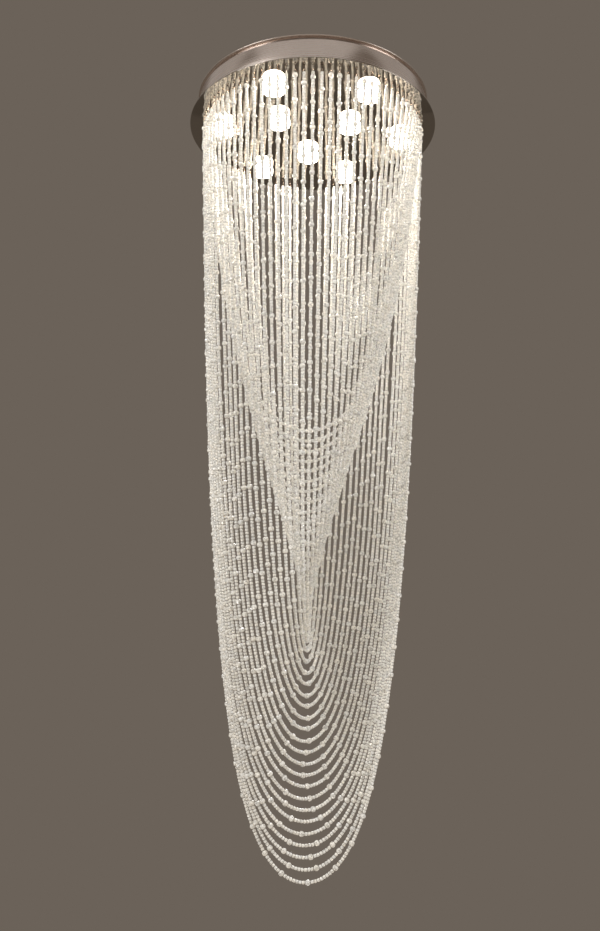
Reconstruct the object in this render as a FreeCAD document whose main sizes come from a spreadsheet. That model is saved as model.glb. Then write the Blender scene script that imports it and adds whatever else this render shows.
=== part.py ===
"""Crystal rain chandelier: a ceiling canopy with a mirror plate, nine twist-lock lamps and 42 bead garlands.

Millimetres and degrees. The ceiling is the plane z = 0, the fixture hangs below it, and -Y is its front.
Each garland hangs from a hook to the hook right across the ring, so every bottom is on the axis. Round the
ring each garland is a little longer than the one before it: the shortest and the longest hang nearly from
side to side, and one of middle length hangs from front to back.
"""

import FreeCAD, Part, Sketcher
import math
import os

from FreeCAD import Vector

# Driving dimensions: name, value, what it is.
SIZES = [
    ("plate_diameter", 600, "mirror plate, outside"),
    ("plate_thickness", 2, "mirror plate"),
    ("plate_edge_radius", 0.8, "rounding of the plate's rim"),
    ("plate_overhang", 21, "how far the plate stands out past the drum"),
    ("drum_height", 70, "ceiling to the top of the mirror plate"),
    ("drum_sheet", 1.2, "sheet of the drum"),
    ("drum_flange", 8, "width of the drum's inward flanges"),
    ("arm_width", 40, "ceiling bracket arm"),
    ("arm_thickness", 3, "ceiling bracket arm"),
    ("arm_reach", 200, "axis to the end of an arm"),
    ("arm_step", 8, "how far the end of an arm stands below the ceiling"),
    ("arm_step_run", 12, "length of the step's slope"),
    ("arm_end", 58, "length of the stepped-down end of an arm"),
    ("ceiling_hole", 7, "hole for a ceiling screw"),
    ("ceiling_hole_circle", 160, "circle of the four ceiling screws"),
    ("bolt", 6, "hanger bolt, outside of the thread"),
    ("bolt_inset", 20, "end of an arm to its hanger bolt"),
    ("bolt_head", 4, "height of the hanger bolt's head"),
    ("bolt_tip", 10, "how far a hanger bolt stands out below the washer"),
    ("hex_across", 10, "across the flats of bolt heads and nuts"),
    ("nut_height", 5, "plain nut"),
    ("cap_nut_height", 7, "hexagon of the cap nut, below which is its dome"),
    ("washer_diameter", 14, "washer under a cap nut"),
    ("washer_thickness", 1.2, "washer under a cap nut"),
    ("hole_clearance", 0.4, "a through hole is this much wider than its screw"),
    ("thread_clearance", 0.1, "a nut's bore is this much wider than its bolt"),
    ("cable_hole", 20, "hole in the bracket for the cable bush"),
    ("cable_bore", 12, "bore of the cable bush"),
    ("bush_flange", 26, "flange of the cable bush"),
    ("bush_flange_thickness", 2, "flange of the cable bush"),
    ("earth_screw", 4, "earth screw"),
    ("earth_screw_place", 100, "axis to the earth screw"),
    ("earth_head", 8, "head of the earth screw"),
    ("earth_head_height", 2.6, "head of the earth screw"),
    ("block_length", 36, "terminal block, along the arm"),
    ("block_width", 22, "terminal block"),
    ("block_height", 16, "terminal block"),
    ("block_place", 50, "axis to the middle of the terminal block"),
    ("pole_pitch", 11, "from one pole of the terminal block to the next"),
    ("pole_bore", 4, "bore for a wire"),
    ("pole_screw", 3.6, "terminal screw"),
    ("pole_screw_length", 5, "terminal screw"),
    ("pole_screw_slot", 1, "driver slot of a terminal screw, wide and deep"),
    ("pole_screw_offset", 5.5, "block's middle to a terminal screw"),
    ("outer_lamp_inset", 81, "edge of the plate to the axis of an outer lamp"),
    ("inner_lamp_circle", 198, "circle of the three inner lamps"),
    ("lamp_turn", 6, "first outer lamp, measured from +X"),
    ("lamp_below", 20, "how far a lamp stands out below the plate"),
    ("lamp_hole_gap", 2, "gap between a lamp's rim and the plate, all round"),
    ("holder_diameter", 30, "lampholder"),
    ("holder_height", 20, "lampholder"),
    ("holder_floor", 3, "wall of the lampholder that the pin heads rest on"),
    ("holder_wire_bore", 7, "bore from the top of the lampholder to its contacts, for the wires"),
    ("holder_screw", 3, "lampholder screw"),
    ("holder_screw_depth", 6, "how deep a lampholder screw goes into its lampholder"),
    ("holder_screw_spacing", 20, "between the two screws of a lampholder"),
    ("holder_screw_head", 5.4, "head of a lampholder screw"),
    ("holder_screw_head_height", 2, "head of a lampholder screw"),
    ("strap_sheet", 1.2, "strap that carries a lampholder"),
    ("strap_width", 14, "strap that carries a lampholder"),
    ("strap_gap", 2, "lamp hole to the leg of a strap"),
    ("strap_foot", 8, "foot of a strap, which is welded to the plate"),
    ("strap_wire_hole", 8, "hole in a strap for the wires"),
    ("pin_spacing", 10, "between the two pins of a lamp"),
    ("pin_neck", 3, "neck of a pin"),
    ("pin_head", 4.8, "head of a pin"),
    ("pin_head_length", 3, "head of a pin"),
    ("pin_clearance", 0.6, "a slot is this much wider than the pin in it"),
    ("contact_thickness", 0.6, "contact strip above each pin"),
    ("seat_clearance", 0.3, "gap at seats that turn or hang"),
    ("lock_turn", 22, "turn that frees a lamp"),
    ("lamp_diameter", 50, "lamp, at its rim"),
    ("lamp_length", 50, "lamp, without its pins"),
    ("lamp_base", 24, "lamp, at its base"),
    ("lamp_base_length", 9, "straight base of a lamp"),
    ("lamp_rim_length", 17, "straight rim of a lamp"),
    ("lamp_front_chamfer", 1.5, "front edge of a lamp"),
    ("hook_inset", 34, "edge of the plate to the circle that the garlands hang on"),
    ("hook_wire", 1.6, "wire of a hook"),
    ("hook_bend", 2.2, "bend of a hook, at the middle of its wire"),
    ("hook_drop", 7, "plate to the middle of the wire at the bottom of a hook"),
    ("hook_head", 3.6, "head of a hook, above the plate"),
    ("hook_head_height", 1.2, "head of a hook, above the plate"),
    ("hook_hole_clearance", 0.2, "a hook's hole is this much wider than its wire"),
    ("ring_diameter", 6, "end ring of a garland, at the middle of its wire"),
    ("ring_wire", 1.2, "wire of an end ring"),
    ("bead_diameter", 8, "small beads, which make the garland's thickness"),
    ("bead_bend", 8.5, "tightest radius that a string of beads takes"),
    ("shortest_drop", 770, "plate to the bottom of the shortest garland"),
    ("longest_drop", 1738, "plate to the bottom of the longest garland"),
]
GARLANDS = 42
GARLANDS_PER_NODE = 2  # neighbouring garlands that share a name
FRONT_TO_BACK = 19  # so many garlands are shorter than the one that hangs from front to back
OUTER_LAMPS = 6
INNER_LAMPS = 3
HOOKS = 2 * GARLANDS
BOLTS = 4
CEILING_SCREWS = 4
POLES = 3
TANGENT_STEP = 0.55  # between the tangents of a garland's route, in units of its catenary scale
STEEPEST_TANGENT = 4.7  # past this a garland is within a degree of plumb, and runs straight
SCALE_SEARCH = 60  # a catenary's scale is looked for from 1 / this to this many times its half span
HALVINGS = 80  # steps of that search
ARC_SHARE = 0.45  # share of the shorter run that an arc takes

doc = FreeCAD.newDocument("crystal_chandelier")
sheet = doc.addObject("Spreadsheet::Sheet", "sizes")
for row, (alias, amount, meaning) in enumerate(SIZES, start=1):
    sheet.set(f"A{row}", alias)
    sheet.set(f"B{row}", str(amount))
    sheet.set(f"C{row}", meaning)
    sheet.setAlias(f"B{row}", alias)
doc.recompute()

PLATE_TOP = "-sizes.drum_height"
PLATE_UNDER = "-sizes.drum_height - sizes.plate_thickness"
LAMP_TOP = "(sizes.lamp_length - sizes.lamp_below)"
HOLDER_BOTTOM = f"{LAMP_TOP} + sizes.seat_clearance"
HOOK_CIRCLE_RADIUS = "sizes.plate_diameter / 2 - sizes.hook_inset"
BOLT_CIRCLE_RADIUS = "(sizes.arm_reach - sizes.bolt_inset)"
HOOK_PITCH = 360 / HOOKS  # degrees from one hook to the next, round the ring

nodes = []


def size(alias):
    """A value of the sheet, as a number."""
    return float(sheet.get(alias))


def number(expression):
    """What an expression of the sheet's values comes to."""
    found = sheet.evalExpression(expression)
    return float(getattr(found, "Value", found))


def keep(obj, name):
    """Names a finished sub-part and lists it."""
    obj.Label = name
    nodes.append(obj)
    return obj


def place(obj, x="0", y="0", z="0"):
    """Ties the place of a sub-part to the sheet."""
    for axis, expression in (("x", x), ("y", y), ("z", z)):
        obj.setExpression(f".Placement.Base.{axis}", expression)


def group_of(name, shapes):
    """A sub-part of separate solids that are worked out in code."""
    made = doc.addObject("Part::Feature", name)
    made.Shape = Part.makeCompound(shapes)
    return made


# Sketches and features


def sketch_on(body, role, name, height="0"):
    """A sketch on one of the body's own origin planes, lifted by height."""
    plane = [f for f in body.Origin.OriginFeatures if f.Role == role][0]
    made = body.newObject("Sketcher::SketchObject", name)
    made.AttachmentSupport = [(plane, "")]
    made.MapMode = "FlatFace"
    made.setExpression(".AttachmentOffset.Base.z", height)
    return made


def tie(sketch, kind, where, expression):
    """Adds a dimension to a sketch and ties it to the sheet."""
    index = sketch.addConstraint(Sketcher.Constraint(kind, *where, number(expression)))
    sketch.setExpression(f"Constraints[{index}]", expression)


def outline(sketch, corners):
    """A closed outline of straight lines through corners, each an (x, y) pair of expressions."""
    points = [Vector(number(x), number(y), 0) for x, y in corners]
    first = sketch.GeometryCount
    for start, end in zip(points, points[1:] + points[:1]):
        sketch.addGeometry(Part.LineSegment(start, end), False)
    for index, (x, y) in enumerate(corners):
        before = first + (index - 1) % len(corners)
        sketch.addConstraint(Sketcher.Constraint("Coincident", before, 2, first + index, 1))
        tie(sketch, "DistanceX", (-1, 1, first + index, 1), x)
        tie(sketch, "DistanceY", (-1, 1, first + index, 1), y)


def circle(sketch, x, y, diameter):
    """A circle at (x, y), all three of them expressions."""
    middle = Vector(number(x), number(y), 0)
    radius = number(diameter) / 2
    index = sketch.addGeometry(Part.Circle(middle, Vector(0, 0, 1), radius), False)
    tie(sketch, "DistanceX", (-1, 1, index, 3), x)
    tie(sketch, "DistanceY", (-1, 1, index, 3), y)
    tie(sketch, "Diameter", (index,), diameter)


def pad(body, sketch, length, name, midplane=False, downward=False):
    made = body.newObject("PartDesign::Pad", name)
    made.Profile = sketch
    made.setExpression("Length", length)
    made.Midplane = midplane
    made.Reversed = downward
    return made


def pocket_through(body, sketch, name):
    """Cuts a sketch through the whole body, both ways."""
    made = body.newObject("PartDesign::Pocket", name)
    made.Profile = sketch
    made.Type = "ThroughAll"
    made.Midplane = True
    return made


def revolve(body, sketch, name):
    """Turns a sketch on the XZ plane round the vertical axis."""
    made = body.newObject("PartDesign::Revolution", name)
    made.Profile = sketch
    made.ReferenceAxis = (sketch, ["V_Axis"])
    made.Angle = 360
    return made


def around(body, feature, name, count, angle=360):
    """Repeats a feature round the vertical axis."""
    axis = [f for f in body.Origin.OriginFeatures if f.Role == "Z_Axis"][0]
    made = body.newObject("PartDesign::PolarPattern", name)
    made.Originals = [feature]
    made.Axis = (axis, [""])
    made.Angle = angle
    made.Occurrences = count
    body.Tip = made
    return made


# Shapes worked out in code


def rounded_wire(points):
    """Straight runs through the points, joined by tangent arcs. Also gives the radii of the arcs."""
    edges = []
    radii = []
    start = points[0]
    for before, corner, after in zip(points, points[1:], points[2:]):
        arriving = (corner - before).normalize()
        leaving = (after - corner).normalize()
        half_turn = arriving.getAngle(leaving) / 2
        cut = ARC_SHARE * min(corner.distanceToPoint(before), corner.distanceToPoint(after))
        radius = cut / math.tan(half_turn)
        inward = (leaving - arriving).normalize()
        middle = corner + inward * (radius / math.cos(half_turn) - radius)
        arc_start = corner - arriving * cut
        arc_end = corner + leaving * cut
        edges.append(Part.LineSegment(start, arc_start).toShape())
        edges.append(Part.Arc(arc_start, middle, arc_end).toShape())
        radii.append(radius)
        start = arc_end
    edges.append(Part.LineSegment(start, points[-1]).toShape())
    return Part.Wire(edges), radii


def tube(wire, start, direction, diameter):
    """A round tube along a wire that starts at start in that direction."""
    section = Part.Wire(Part.makeCircle(diameter / 2, start, direction))
    return wire.makePipeShell([section], True, False)


def hexagon_prism(across, height, base):
    """An upright hexagonal prism on the point base."""
    reach = across / math.sqrt(3)
    turns = [math.radians(60 * corner) for corner in range(6)]
    corners = [base + Vector(reach * math.cos(turn), reach * math.sin(turn), 0) for turn in turns]
    return Part.Face(Part.makePolygon(corners + corners[:1])).extrude(Vector(0, 0, height))


def arc_slot(radius, width, first, last, bottom, height):
    """An upright slot that bends round the vertical axis from angle first to angle last, in degrees."""

    def at(distance, angle):
        turn = math.radians(angle)
        return Vector(distance * math.cos(turn), distance * math.sin(turn), bottom)

    half = width / 2
    overrun = math.degrees(half / radius)
    middle = (first + last) / 2
    edges = [
        Part.Arc(at(radius + half, first), at(radius + half, middle), at(radius + half, last)),
        Part.Arc(at(radius + half, last), at(radius, last + overrun), at(radius - half, last)),
        Part.Arc(at(radius - half, last), at(radius - half, middle), at(radius - half, first)),
        Part.Arc(at(radius - half, first), at(radius, first - overrun), at(radius + half, first)),
    ]
    wire = Part.Wire([edge.toShape() for edge in edges])
    return Part.Face(wire).extrude(Vector(0, 0, height))


def ring_places(count, radius, first_angle, height):
    """Points evenly spaced round the vertical axis."""
    turns = [math.radians(first_angle + 360 * step / count) for step in range(count)]
    return [Vector(radius * math.cos(turn), radius * math.sin(turn), height) for turn in turns]


# Canopy


def make_ceiling_bracket():
    """A cross of two flat bars against the ceiling, whose ends step down to make room for bolt heads."""
    body = doc.addObject("PartDesign::Body", "bracket")
    reach = "sizes.arm_reach"
    slope_end = "(sizes.arm_reach - sizes.arm_end)"
    slope_start = "(sizes.arm_reach - sizes.arm_end - sizes.arm_step_run)"
    under = "sizes.arm_thickness"
    step = "sizes.arm_step"
    # The under side of the slope starts earlier by this much, so that the bar keeps its thickness there.
    lead = "(sizes.arm_thickness * tan(atan(sizes.arm_step / sizes.arm_step_run) / 2))"
    profile = [
        (f"-{slope_start}", "0"),
        (slope_start, "0"),
        (slope_end, f"-{step}"),
        (reach, f"-{step}"),
        (reach, f"-{step} - {under}"),
        (f"{slope_end} - {lead}", f"-{step} - {under}"),
        (f"{slope_start} - {lead}", f"-{under}"),
        (f"-{slope_start} + {lead}", f"-{under}"),
        (f"-{slope_end} + {lead}", f"-{step} - {under}"),
        (f"-{reach}", f"-{step} - {under}"),
        (f"-{reach}", f"-{step}"),
        (f"-{slope_end}", f"-{step}"),
    ]
    for role, name in (("XZ_Plane", "arm_along_x"), ("YZ_Plane", "arm_along_y")):
        sketch = sketch_on(body, role, f"{name}_profile")
        outline(sketch, profile)
        pad(body, sketch, "sizes.arm_width", name, midplane=True)
    holes = sketch_on(body, "XY_Plane", "centre_hole_sketch")
    circle(holes, "0", "0", "sizes.cable_hole")
    pocket_through(body, holes, "cable_hole")
    earth = sketch_on(body, "XY_Plane", "earth_hole_sketch")
    circle(earth, "-sizes.earth_screw_place", "0", "sizes.earth_screw + sizes.hole_clearance")
    pocket_through(body, earth, "earth_hole")
    screws = sketch_on(body, "XY_Plane", "ceiling_hole_sketch")
    circle(screws, "sizes.ceiling_hole_circle / 2", "0", "sizes.ceiling_hole")
    around(body, pocket_through(body, screws, "ceiling_hole"), "ceiling_holes", CEILING_SCREWS)
    bolts = sketch_on(body, "XY_Plane", "bolt_hole_sketch")
    circle(bolts, BOLT_CIRCLE_RADIUS, "0", "sizes.bolt + sizes.hole_clearance")
    around(body, pocket_through(body, bolts, "bolt_hole"), "bolt_holes", BOLTS)
    return keep(body, "ceiling_bracket")


def make_canopy_drum():
    """A band of sheet with an inward flange at the ceiling and another on the mirror plate."""
    body = doc.addObject("PartDesign::Body", "drum")
    outer = "(sizes.plate_diameter / 2 - sizes.plate_overhang)"
    wall = f"{outer} - sizes.drum_sheet"
    lip = f"{wall} - sizes.drum_flange"
    height = "sizes.drum_height"
    sheet_gauge = "sizes.drum_sheet"
    profile = [
        (outer, "0"),
        (outer, f"-{height}"),
        (lip, f"-{height}"),
        (lip, f"-{height} + {sheet_gauge}"),
        (wall, f"-{height} + {sheet_gauge}"),
        (wall, f"-{sheet_gauge}"),
        (lip, f"-{sheet_gauge}"),
        (lip, "0"),
    ]
    sketch = sketch_on(body, "XZ_Plane", "drum_section")
    outline(sketch, profile)
    revolve(body, sketch, "drum_wall")
    return keep(body, "canopy_drum")


def make_mirror_plate():
    """The polished plate, with a hole for each hook, hanger bolt and lamp."""
    body = doc.addObject("PartDesign::Body", "plate")
    edge = sketch_on(body, "XY_Plane", "plate_outline")
    circle(edge, "0", "0", "sizes.plate_diameter")
    disc = pad(body, edge, "sizes.plate_thickness", "plate_disc", downward=True)
    doc.recompute()
    rim = body.newObject("PartDesign::Fillet", "plate_rim")
    rim.Base = (disc, edges_round_the_axis(disc.Shape, size("plate_diameter") / 2))
    rim.setExpression("Radius", "sizes.plate_edge_radius")
    hooks = sketch_on(body, "XY_Plane", "hook_hole_sketch")
    shank = f"({HOOK_CIRCLE_RADIUS} - sizes.hook_bend)"
    circle(hooks, "0", f"-{shank}", "sizes.hook_wire + sizes.hook_hole_clearance")
    around(body, pocket_through(body, hooks, "hook_hole"), "hook_holes", HOOKS)
    bolts = sketch_on(body, "XY_Plane", "bolt_hole_sketch")
    circle(bolts, BOLT_CIRCLE_RADIUS, "0", "sizes.bolt + sizes.hole_clearance")
    around(body, pocket_through(body, bolts, "bolt_hole"), "bolt_holes", BOLTS)
    for ring, count, radius, start in lamp_rings():
        lamps = sketch_on(body, "XY_Plane", f"{ring}_lamp_sketch")
        hole = "sizes.lamp_diameter + 2 * sizes.lamp_hole_gap"
        circle(lamps, f"{radius} * cos({start})", f"{radius} * sin({start})", hole)
        around(body, pocket_through(body, lamps, f"{ring}_lamp_hole"), f"{ring}_lamp_holes", count)
    place(body, z=PLATE_TOP)
    return keep(body, "mirror_plate")


def lamp_rings():
    """Each ring of lamps: its name, how many, its radius, and the angle of its first lamp."""
    return [
        ("outer", OUTER_LAMPS, "(sizes.plate_diameter / 2 - sizes.outer_lamp_inset)", "sizes.lamp_turn"),
        ("inner", INNER_LAMPS, "(sizes.inner_lamp_circle / 2)", "(sizes.lamp_turn + 90)"),
    ]


def edges_round_the_axis(shape, radius):
    """Names of a shape's circular edges of that radius."""
    found = []
    for index, edge in enumerate(shape.Edges, start=1):
        if isinstance(edge.Curve, Part.Circle) and abs(edge.Curve.Radius - radius) < 1e-6:
            found.append(f"Edge{index}")
    return found


def hanger_bolt():
    """A hexagon bolt from the bracket's stepped end down through the mirror plate."""
    under_head = -size("arm_step")
    tip = number(f"{PLATE_UNDER} - sizes.washer_thickness - sizes.bolt_tip")
    head = hexagon_prism(size("hex_across"), size("bolt_head"), Vector(0, 0, under_head))
    shank = Part.makeCylinder(size("bolt") / 2, under_head - tip, Vector(0, 0, tip))
    return head.fuse(shank).removeSplitter()


def bracket_nut():
    """A plain nut that locks a hanger bolt to the bracket."""
    height = size("nut_height")
    base = Vector(0, 0, -size("arm_step") - size("arm_thickness") - height)
    bore = Part.makeCylinder(number("(sizes.bolt + sizes.thread_clearance) / 2"), height, base)
    return hexagon_prism(size("hex_across"), height, base).cut(bore)


def plate_washer():
    """The washer between the mirror plate and a cap nut."""
    thickness = size("washer_thickness")
    base = Vector(0, 0, number(PLATE_UNDER) - thickness)
    bore = Part.makeCylinder(number("(sizes.bolt + sizes.hole_clearance) / 2"), thickness, base)
    return Part.makeCylinder(size("washer_diameter") / 2, thickness, base).cut(bore)


def cap_nut():
    """A domed nut that carries the mirror plate."""
    top = number(PLATE_UNDER) - size("washer_thickness")
    height = size("cap_nut_height")
    dome_radius = size("hex_across") / 2
    base = Vector(0, 0, top - height)
    hexagon = hexagon_prism(size("hex_across"), height, base)
    dome = Part.makeSphere(dome_radius, base)
    depth = size("bolt_tip") + size("seat_clearance")
    bore_radius = number("(sizes.bolt + sizes.thread_clearance) / 2")
    bore = Part.makeCylinder(bore_radius, depth, Vector(0, 0, top - depth))
    return hexagon.fuse(dome).cut(bore)


def make_bolt_sets():
    """Four of each piece that holds the mirror plate up."""
    makers = (
        (hanger_bolt, "hanger_bolts"),
        (bracket_nut, "bracket_nuts"),
        (plate_washer, "plate_washers"),
        (cap_nut, "cap_nuts"),
    )
    for maker, name in makers:
        single = maker()
        places = ring_places(BOLTS, number(BOLT_CIRCLE_RADIUS), 0, 0)
        keep(group_of(f"{name}_set", [single.translated(p) for p in places]), name)


# Wiring


def make_cable_bush():
    """A rubber bush in the middle of the bracket, with its flange below."""
    body = doc.addObject("PartDesign::Body", "bush")
    bore = "sizes.cable_bore / 2"
    neck = "sizes.cable_hole / 2"
    rim = "sizes.bush_flange / 2"
    top = "-sizes.seat_clearance"
    shoulder = "-sizes.arm_thickness"
    bottom = "-sizes.arm_thickness - sizes.bush_flange_thickness"
    profile = [(bore, top), (neck, top), (neck, shoulder), (rim, shoulder), (rim, bottom), (bore, bottom)]
    sketch = sketch_on(body, "XZ_Plane", "bush_section")
    outline(sketch, profile)
    revolve(body, sketch, "bush_ring")
    return keep(body, "cable_bush")


def make_earth_screw():
    """The screw that clamps the earth wire to the bracket."""
    body = doc.addObject("PartDesign::Body", "earth")
    head = "sizes.earth_head / 2"
    shank = "sizes.earth_screw / 2"
    under = "-sizes.arm_thickness"
    bottom = "-sizes.arm_thickness - sizes.earth_head_height"
    top = "-sizes.seat_clearance"
    profile = [("0", top), (shank, top), (shank, under), (head, under), (head, bottom), ("0", bottom)]
    sketch = sketch_on(body, "XZ_Plane", "earth_screw_section")
    outline(sketch, profile)
    revolve(body, sketch, "earth_screw_turning")
    place(body, x="-sizes.earth_screw_place")
    return keep(body, "earth_screw")


def pole_places():
    """How far each pole stands from the block's middle, along the block, as expressions."""
    return [f"({pole} - {(POLES - 1) / 2}) * sizes.pole_pitch" for pole in range(POLES)]


def make_terminal_block():
    """A three-pole block under the bracket, with a wire bore and two screw holes for each pole."""
    body = doc.addObject("PartDesign::Body", "block")
    half = "sizes.block_length / 2"
    width = "sizes.block_width / 2"
    corners = [(f"-{half}", f"-{width}"), (half, f"-{width}"), (half, width), (f"-{half}", width)]
    base = sketch_on(body, "XY_Plane", "block_outline")
    outline(base, corners)
    pad(body, base, "sizes.block_height", "block_body", downward=True)
    bores = sketch_on(body, "XZ_Plane", "wire_bore_sketch")
    screws = sketch_on(body, "XY_Plane", "block_screw_sketch", "-sizes.block_height")
    for pole in pole_places():
        circle(bores, pole, "-sizes.block_height / 2", "sizes.pole_bore")
        for side in ("", "-"):
            circle(screws, pole, f"{side}sizes.pole_screw_offset", "sizes.pole_screw + sizes.hole_clearance")
    pocket_through(body, bores, "wire_bores")
    cut = body.newObject("PartDesign::Pocket", "block_screw_holes")
    cut.Profile = screws
    cut.setExpression("Length", "sizes.block_height / 2")
    cut.Reversed = True
    place(body, x="sizes.block_place", z="-sizes.arm_thickness")
    return keep(body, "terminal_block")


def make_terminal_screws():
    """Two slotted screws for each pole, which press on its wires from below."""
    radius = size("pole_screw") / 2
    length = size("pole_screw_length")
    mouth = -size("arm_thickness") - size("block_height")
    cut = size("pole_screw_slot")
    slot = Part.makeBox(2 * radius, cut, cut, Vector(-radius, -cut / 2, mouth))
    single = Part.makeCylinder(radius, length, Vector(0, 0, mouth)).cut(slot)
    made = []
    for pole in pole_places():
        for side in (1, -1):
            spot = Vector(size("block_place") + number(pole), side * size("pole_screw_offset"), 0)
            made.append(single.translated(spot))
    return keep(group_of("terminal_screw_set", made), "terminal_screws")


# Lamps. A lamp and its holder are drawn round their own axis, with z = 0 at the under side of the plate.


def lamp_places():
    """Each lamp's axis, and how far it is turned round it, as expressions (x, y, angle)."""
    places = []
    for _, count, radius, start in lamp_rings():
        for step in range(count):
            angle = f"({start} + {360 * step / count})"
            places.append((f"{radius} * cos({angle})", f"{radius} * sin({angle})", angle))
    return places


def holder_bottom():
    """Height of a lampholder's lower face, just above the lamp's base."""
    return number(HOLDER_BOTTOM)


def cavity_height():
    """Height of the space for the pin heads and the contact above them."""
    return size("pin_head_length") + size("contact_thickness") + 2 * size("seat_clearance")


def holder_cuts():
    """The two keyhole slots, the wire bore and the two screw holes of a lampholder."""
    bottom = holder_bottom()
    top = bottom + size("holder_height")
    slot_radius = size("pin_spacing") / 2
    clearance = size("pin_clearance")
    neck_slot = size("pin_neck") + clearance
    head_slot = size("pin_head") + clearance
    floor = size("holder_floor")
    roof = bottom + floor + cavity_height()
    free = -size("lock_turn")
    cuts = []
    for pin in (0, 180):
        cuts.append(arc_slot(slot_radius, neck_slot, pin + free, pin, bottom, floor))
        cuts.append(arc_slot(slot_radius, head_slot, pin + free, pin, bottom + floor, cavity_height()))
        mouth = Vector(slot_radius, 0, bottom)
        entry = Part.makeCylinder(head_slot / 2, floor + cavity_height(), mouth)
        cuts.append(entry.rotated(Vector(), Vector(0, 0, 1), pin + free))
    cuts.append(Part.makeCylinder(size("holder_wire_bore") / 2, top - roof, Vector(0, 0, roof)))
    screw_radius = number("(sizes.holder_screw + sizes.thread_clearance) / 2")
    depth = size("holder_screw_depth") + size("seat_clearance")
    for side in (1, -1):
        base = Vector(side * size("holder_screw_spacing") / 2, 0, top - depth)
        cuts.append(Part.makeCylinder(screw_radius, depth, base))
    return Part.makeCompound([cuts[0].multiFuse(cuts[1:])])


def make_lampholder(number_of, x, y, angle):
    """A ceramic lampholder: a round body less its slots, wire bore and screw holes."""
    body = doc.addObject("PartDesign::Body", f"holder_body_{number_of}")
    outline_sketch = sketch_on(body, "XY_Plane", f"holder_outline_{number_of}", HOLDER_BOTTOM)
    circle(outline_sketch, "0", "0", "sizes.holder_diameter")
    pad(body, outline_sketch, "sizes.holder_height", f"holder_block_{number_of}")
    slots = doc.addObject("Part::Feature", f"holder_slots_{number_of}")
    slots.Shape = holder_cuts()
    holder = doc.addObject("Part::Cut", f"holder_{number_of}")
    holder.Base = body
    holder.Tool = slots
    place(holder, x, y, PLATE_UNDER)
    holder.setExpression(".Placement.Rotation.Angle", angle)
    return keep(holder, f"lampholder_{number_of}")


def lamp_strap():
    """A hat-shaped strap over a lamp hole: two feet on the plate, two legs, and a top over the lampholder."""
    sheet_gauge = size("strap_sheet")
    inside = size("lamp_diameter") / 2 + size("lamp_hole_gap") + size("strap_gap")
    outside = inside + sheet_gauge
    toe = outside + size("strap_foot")
    seat = size("plate_thickness")
    under = holder_bottom() + size("holder_height")
    right = [
        (outside, under + sheet_gauge),
        (outside, seat + sheet_gauge),
        (toe, seat + sheet_gauge),
        (toe, seat),
        (inside, seat),
        (inside, under),
    ]
    left = [(-across, height) for across, height in reversed(right)]
    half_width = size("strap_width") / 2
    corners = [Vector(across, -half_width, height) for across, height in right + left]
    strap = Part.Face(Part.makePolygon(corners + corners[:1])).extrude(Vector(0, 2 * half_width, 0))
    holes = [Part.makeCylinder(size("strap_wire_hole") / 2, sheet_gauge, Vector(0, 0, under))]
    screw_radius = number("(sizes.holder_screw + sizes.hole_clearance) / 2")
    for side in (1, -1):
        base = Vector(side * size("holder_screw_spacing") / 2, 0, under)
        holes.append(Part.makeCylinder(screw_radius, sheet_gauge, base))
    return strap.cut(holes)


def holder_screw():
    """A screw from above, through the strap and into the lampholder."""
    top = holder_bottom() + size("holder_height")
    depth = size("holder_screw_depth")
    under_head = top + size("strap_sheet")
    shank = Part.makeCylinder(size("holder_screw") / 2, under_head - top + depth, Vector(0, 0, top - depth))
    head_height = size("holder_screw_head_height")
    head = Part.makeCylinder(size("holder_screw_head") / 2, head_height, Vector(0, 0, under_head))
    return shank.fuse(head)


def holder_contact():
    """A brass strip above a pin, at the roof of the lampholder's cavity."""
    height = size("contact_thickness")
    roof = holder_bottom() + size("holder_floor") + cavity_height()
    return arc_slot(size("pin_spacing") / 2, size("pin_head"), -size("lock_turn"), 0, roof - height, height)


def make_lamp(number_of, x, y, angle):
    """A reflector lamp with two headed pins, turned home in its holder."""
    body = doc.addObject("PartDesign::Body", f"lamp_body_{number_of}")
    top = LAMP_TOP
    front = "-sizes.lamp_below"
    base = "sizes.lamp_base / 2"
    rim = "sizes.lamp_diameter / 2"
    chamfer = "sizes.lamp_front_chamfer"
    profile = [
        ("0", top),
        (base, top),
        (base, f"{top} - sizes.lamp_base_length"),
        (rim, f"{front} + sizes.lamp_rim_length"),
        (rim, f"{front} + {chamfer}"),
        (f"{rim} - {chamfer}", front),
        ("0", front),
    ]
    sketch = sketch_on(body, "XZ_Plane", f"lamp_section_{number_of}")
    outline(sketch, profile)
    revolve(body, sketch, f"lamp_turning_{number_of}")
    neck_length = "(sizes.holder_floor + 2 * sizes.seat_clearance)"
    sections = (
        ("neck", "sizes.pin_neck", top, neck_length),
        ("head", "sizes.pin_head", f"{top} + {neck_length}", "sizes.pin_head_length"),
    )
    for part_name, diameter, height, length in sections:
        pins = sketch_on(body, "XY_Plane", f"pin_{part_name}_sketch_{number_of}", height)
        circle(pins, "sizes.pin_spacing / 2", "0", diameter)
        circle(pins, "-sizes.pin_spacing / 2", "0", diameter)
        pad(body, pins, length, f"pin_{part_name}s_{number_of}")
    place(body, x, y, PLATE_UNDER)
    body.setExpression(".Placement.Rotation.Angle", angle)
    return keep(body, f"lamp_{number_of}")


def at_each_lamp(shape):
    """Copies of a shape that is drawn round a lamp's own axis, one for each lamp."""
    made = []
    for x, y, angle in lamp_places():
        copied = shape.rotated(Vector(), Vector(0, 0, 1), number(angle))
        made.append(copied.translated(Vector(number(x), number(y), number(PLATE_UNDER))))
    return made


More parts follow.
